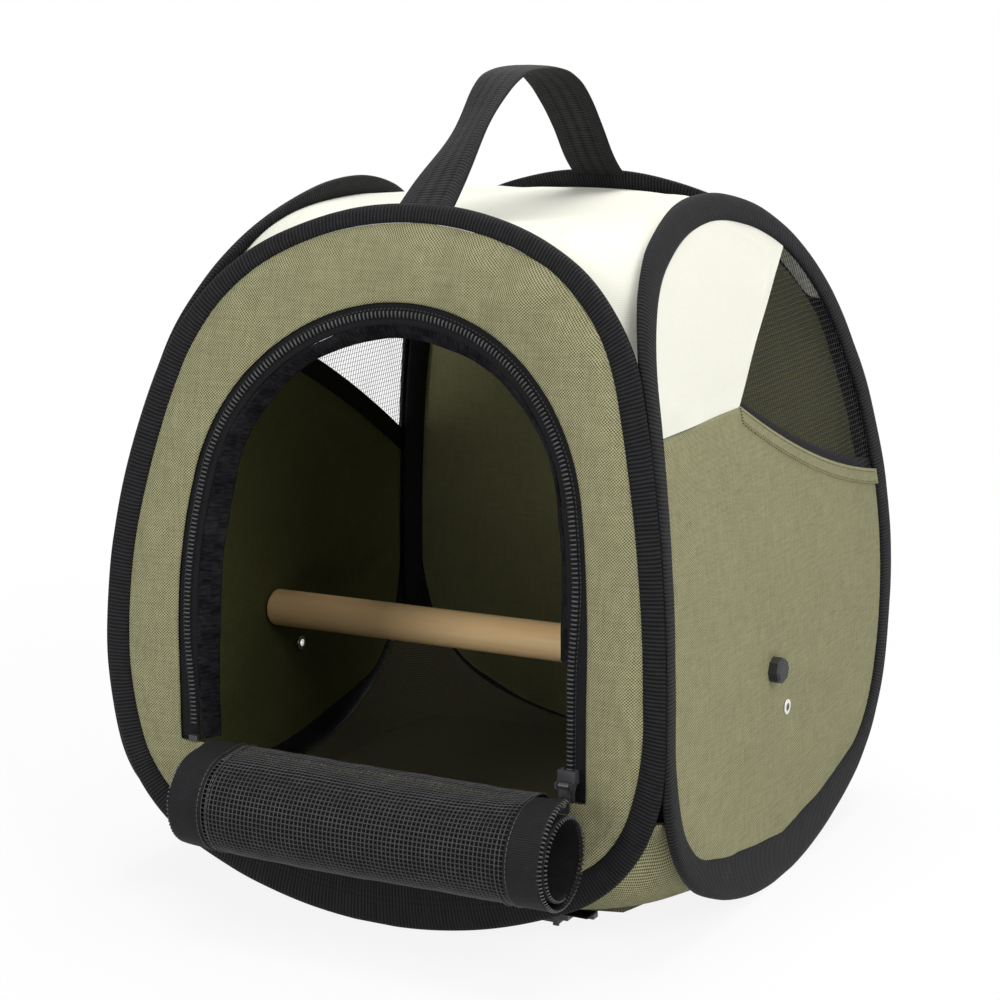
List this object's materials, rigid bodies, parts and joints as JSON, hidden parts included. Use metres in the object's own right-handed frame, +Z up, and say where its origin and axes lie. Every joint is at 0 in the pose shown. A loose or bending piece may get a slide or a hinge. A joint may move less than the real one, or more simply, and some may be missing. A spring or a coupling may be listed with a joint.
{
  "type": "bird travel carrier",
  "caption": "Pop-up fabric travel carrier for a small bird: four hoop-framed walls, arched zip door rolled down, perch, floor board and carrying strap.",
  "frame": {"origin": "middle of the plane that the four hoops stand on", "axes": "+Z up, the door faces -Y, +X is the side with the door's zip slider"},
  "size_m": [0.2946, 0.3307, 0.3741],
  "materials": {
    "olive_fabric": "plain woven polyester",
    "pale_fabric": "plain woven polyester",
    "window_mesh": "open woven mesh",
    "binding_tape": "ribbed tape",
    "spring_steel": "tempered",
    "floor_cover": "covered board",
    "zip_tape": "woven tape",
    "zip_coil": "nylon coil",
    "zip_metal": "black enamel",
    "door_mesh": "coated open mesh",
    "webbing": "woven webbing",
    "perch_wood": "smooth untreated wood",
    "knob_plastic": "moulded",
    "eyelet_metal": "nickel plated"
  },
  "bodies": {
    "shell": {"front_panel": "olive_fabric", "back_panel": "olive_fabric", "right_lower_panel": "olive_fabric", "left_lower_panel": "olive_fabric", "back_pocket": "olive_fabric", "base_panel": "olive_fabric", "top_panel": "pale_fabric", "right_pale_patch": "pale_fabric", "left_pale_patch": "pale_fabric", "right_mesh_window": "window_mesh", "left_mesh_window": "window_mesh", "front_binding": "binding_tape", "right_binding": "binding_tape", "back_binding": "binding_tape", "left_binding": "binding_tape", "corner_tape_front_right": "binding_tape", "corner_tape_back_right": "binding_tape", "corner_tape_back_left": "binding_tape", "corner_tape_front_left": "binding_tape", "right_window_hem": "binding_tape", "left_window_hem": "binding_tape", "door_opening_lip": "binding_tape", "front_spring": "spring_steel", "right_spring": "spring_steel", "back_spring": "spring_steel", "left_spring": "spring_steel", "door_zip_tape": "zip_tape", "base_zip_tape": "zip_tape", "door_zip_coil": "zip_coil", "base_zip_coil": "zip_coil", "door_zip_stops": "zip_metal", "base_zip_stops": "zip_metal", "strap_tab_front": "webbing", "strap_tab_back": "webbing", "eyelet_right": "eyelet_metal", "eyelet_left": "eyelet_metal"},
    "door": {"door_mesh": "door_mesh", "door_flap": "zip_tape", "door_band_left": "zip_tape", "door_band_right": "zip_tape"},
    "handle": {"strap_loop": "webbing"},
    "door_slider": {"door_zip_slider": "zip_metal"},
    "door_pull": {"door_zip_pull": "zip_metal"},
    "base_slider": {"base_zip_slider": "zip_metal"},
    "base_pull": {"base_zip_pull": "zip_metal"},
    "perch_rod": {"perch": "perch_wood"},
    "knob_right": {"perch_knob_right": "knob_plastic"},
    "knob_left": {"perch_knob_left": "knob_plastic"},
    "board": {"floor_board": "floor_cover"}
  },
  "joints": [
    {"name": "strap_swing", "type": "hinge", "parent": "shell", "child": "handle", "pos_m": [0, 0, 0.332], "axis": [0, 1, 0], "range_deg": [-85, 85]},
    {"name": "door_roll_lift", "type": "hinge", "parent": "shell", "child": "door", "pos_m": [0, -0.1415, 0.072], "axis": [-1, 0, 0], "range_deg": [0, 45]},
    {"name": "door_zip_slide", "type": "slide", "parent": "shell", "child": "door_slider", "axis": [0, 0, 1], "range_m": [0, 0.03]},
    {"name": "door_pull_swing", "type": "hinge", "parent": "door_slider", "child": "door_pull", "pos_m": [0.09625, -0.1456, 0.081], "axis": [-1, 0, 0], "range_deg": [0, 150]},
    {"name": "base_zip_slide", "type": "slide", "parent": "shell", "child": "base_slider", "axis": [-1, 0, 0], "range_m": [0, 0.15]},
    {"name": "base_pull_swing", "type": "hinge", "parent": "base_slider", "child": "base_pull", "pos_m": [0.074, -0.104, 0.0017], "axis": [0, -1, 0], "range_deg": [0, 100]},
    {"name": "perch_turn", "type": "hinge", "parent": "shell", "child": "perch_rod", "pos_m": [0, -0.0095, 0.102], "axis": [0.9973, -0.0679, 0.0286], "continuous": true},
    {"name": "knob_right_turn", "type": "hinge", "parent": "shell", "child": "knob_right", "pos_m": [0.1395, -0.019, 0.106], "axis": [0.9973, -0.0679, 0.0286], "continuous": true},
    {"name": "knob_left_turn", "type": "hinge", "parent": "shell", "child": "knob_left", "pos_m": [-0.1395, 0, 0.098], "axis": [-0.9973, 0.0679, -0.0286], "continuous": true},
    {"name": "board_lift", "type": "slide", "parent": "shell", "child": "board", "axis": [0, 0, 1], "range_m": [0, 0.06]}
  ]
}
